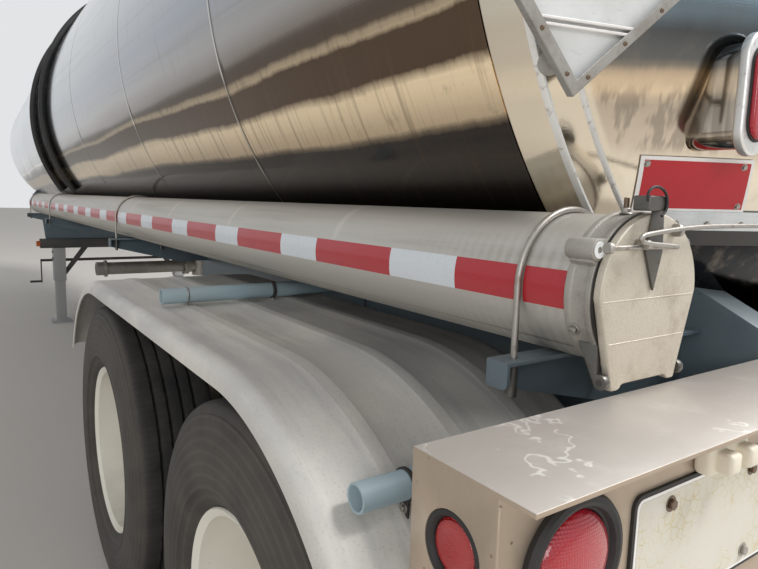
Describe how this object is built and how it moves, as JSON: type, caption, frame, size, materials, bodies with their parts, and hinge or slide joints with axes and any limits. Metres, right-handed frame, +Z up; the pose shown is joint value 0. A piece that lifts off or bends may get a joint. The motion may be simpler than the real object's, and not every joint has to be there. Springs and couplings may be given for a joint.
{
  "type": "tank semi-trailer",
  "caption": "Road tank semi-trailer: polished round tank on twin-tyred tandem axles, with ribbed fenders, hose tubes, rear bumper, top manway and landing gear",
  "frame": {"origin": "on the ground, midway between the front head's tip and the rear bumper's edge, on the trailer's middle plane", "axes": "+X forward to the coupling end, +Y to the trailer's left, +Z up"},
  "size_m": [10.8, 2.438, 3.225],
  "materials": {
    "polished_steel": "mirror polished stainless steel",
    "brushed_steel": "weathered stainless sheet",
    "dull_aluminium": "dull, with brownish road film",
    "fender_steel": "ribbed sheet, dusty",
    "frame_paint": "slate blue-grey gloss paint",
    "dark_paint": "black chassis paint, dusty",
    "wheel_paint": "cream white wheel enamel",
    "tyre_rubber": "dusty tread rubber",
    "black_rubber": "matt",
    "red_lens": "moulded lens",
    "amber_lens": "moulded lens",
    "kingpin_steel": "greased forged steel"
  },
  "bodies": {
    "chassis": {"air_tanks": "dark_paint", "axles": "dark_paint", "beam_lamps": "amber_lens", "brake_chambers": "dark_paint", "coupler_frame": "frame_paint", "coupler_plate": "frame_paint", "drain_hoses": "black_rubber", "equalizers": "dark_paint", "fender_left": "fender_steel", "fender_right": "fender_steel", "fender_stubs": "frame_paint", "gladhand_bracket": "frame_paint", "head_lamp_boxes": "brushed_steel", "hinge_pins": "dull_aluminium", "hose_tube_left": "dull_aluminium", "hose_tube_right": "dull_aluminium", "kingpin": "kingpin_steel", "ladder": "brushed_steel", "landing_beam": "frame_paint", "landing_braces": "dark_paint", "landing_bulkhead": "frame_paint", "landing_crank": "dark_paint", "landing_legs": "dark_paint", "leaf_springs": "dark_paint", "manway_neck": "polished_steel", "mud_flaps": "black_rubber", "outlet_pipe": "brushed_steel", "outlet_valve": "brushed_steel", "rear_bumper": "brushed_steel", "rear_guard": "frame_paint", "rear_lamps": "red_lens", "rear_sill": "frame_paint", "rear_subframe": "frame_paint", "spill_dam": "polished_steel", "spring_hangers": "dark_paint", "sump": "polished_steel", "tank_barrel": "polished_steel", "tank_front_head": "polished_steel", "tank_front_section": "polished_steel", "tank_rear_head": "polished_steel", "tank_saddles": "frame_paint", "top_vents": "brushed_steel", "top_walkway": "brushed_steel", "tube_arms": "frame_paint", "tube_rings": "dull_aluminium", "tube_straps": "dull_aluminium"},
    "wheels_front_left": {"tyres_front_left": "tyre_rubber", "wheels_front_left": "wheel_paint"},
    "wheels_front_right": {"tyres_front_right": "tyre_rubber", "wheels_front_right": "wheel_paint"},
    "wheels_rear_left": {"tyres_rear_left": "tyre_rubber", "wheels_rear_left": "wheel_paint"},
    "wheels_rear_right": {"tyres_rear_right": "tyre_rubber", "wheels_rear_right": "wheel_paint"},
    "manway_lid": {"manway_lid": "polished_steel"},
    "tube_cap_left": {"tube_cap_left": "dull_aluminium", "cap_toggle_left": "black_rubber"},
    "tube_cap_right": {"tube_cap_right": "dull_aluminium", "cap_toggle_right": "black_rubber"}
  },
  "joints": [
    {"name": "wheel_front_left_spin", "type": "hinge", "parent": "chassis", "child": "wheels_front_left", "pos_m": [-3.381, 0.8775, 0.52], "axis": [0, 1, 0], "continuous": true},
    {"name": "wheel_front_right_spin", "type": "hinge", "parent": "chassis", "child": "wheels_front_right", "pos_m": [-3.381, -0.8775, 0.52], "axis": [0, 1, 0], "continuous": true},
    {"name": "wheel_rear_left_spin", "type": "hinge", "parent": "chassis", "child": "wheels_rear_left", "pos_m": [-4.625, 0.8775, 0.52], "axis": [0, 1, 0], "continuous": true},
    {"name": "wheel_rear_right_spin", "type": "hinge", "parent": "chassis", "child": "wheels_rear_right", "pos_m": [-4.625, -0.8775, 0.52], "axis": [0, 1, 0], "continuous": true},
    {"name": "manway_lid_hinge", "type": "hinge", "parent": "chassis", "child": "manway_lid", "pos_m": [-0.443, 0, 3.172], "axis": [0, -1, 0], "range_deg": [0, 110]},
    {"name": "tube_cap_left_hinge", "type": "hinge", "parent": "chassis", "child": "tube_cap_left", "pos_m": [-5.238, 0.836, 1.221], "axis": [0, -1, 0], "range_deg": [0, 90]},
    {"name": "tube_cap_right_hinge", "type": "hinge", "parent": "chassis", "child": "tube_cap_right", "pos_m": [-5.238, -0.836, 1.221], "axis": [0, -1, 0], "range_deg": [0, 90]}
  ]
}
